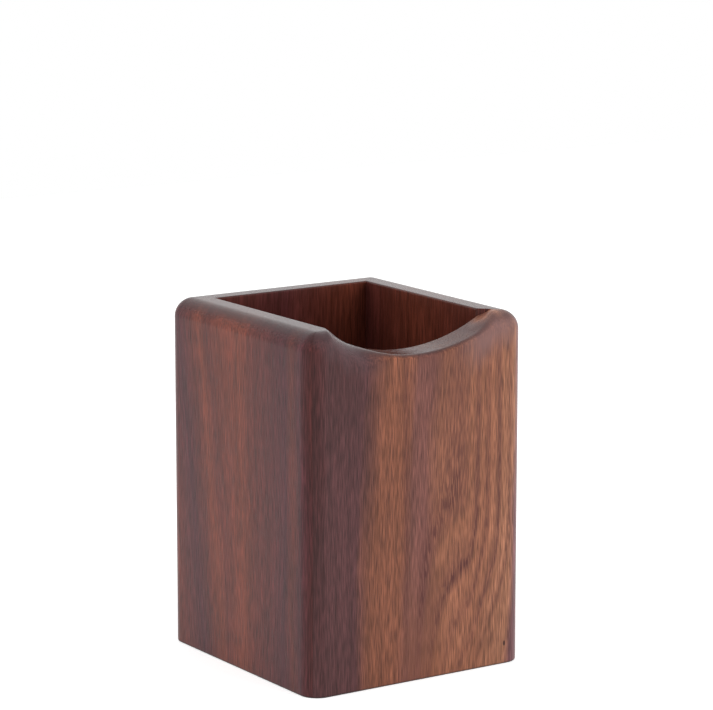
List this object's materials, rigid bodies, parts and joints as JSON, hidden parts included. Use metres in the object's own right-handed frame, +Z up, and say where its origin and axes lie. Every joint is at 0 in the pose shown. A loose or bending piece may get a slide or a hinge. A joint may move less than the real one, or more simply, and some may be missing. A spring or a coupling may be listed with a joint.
{
  "type": "pen stand",
  "caption": "Square wooden pen cup of mitred boards round a let-in floor, with rounded outer edges and a shallow scoop in the front rim.",
  "frame": {"origin": "middle of the flat underside that the cup stands on", "axes": "+Z up, along the boards' grain; the scooped front board faces -Y; +X to the right as seen from the front"},
  "size_m": [0.071, 0.074, 0.1],
  "materials": {
    "walnut_front": "satin oil",
    "walnut_sides": "satin oil",
    "walnut_floor": "satin oil"
  },
  "bodies": {
    "root": {"front_board": "walnut_front", "right_board": "walnut_sides", "back_board": "walnut_sides", "left_board": "walnut_sides", "bottom_board": "walnut_floor"}
  },
  "joints": []
}
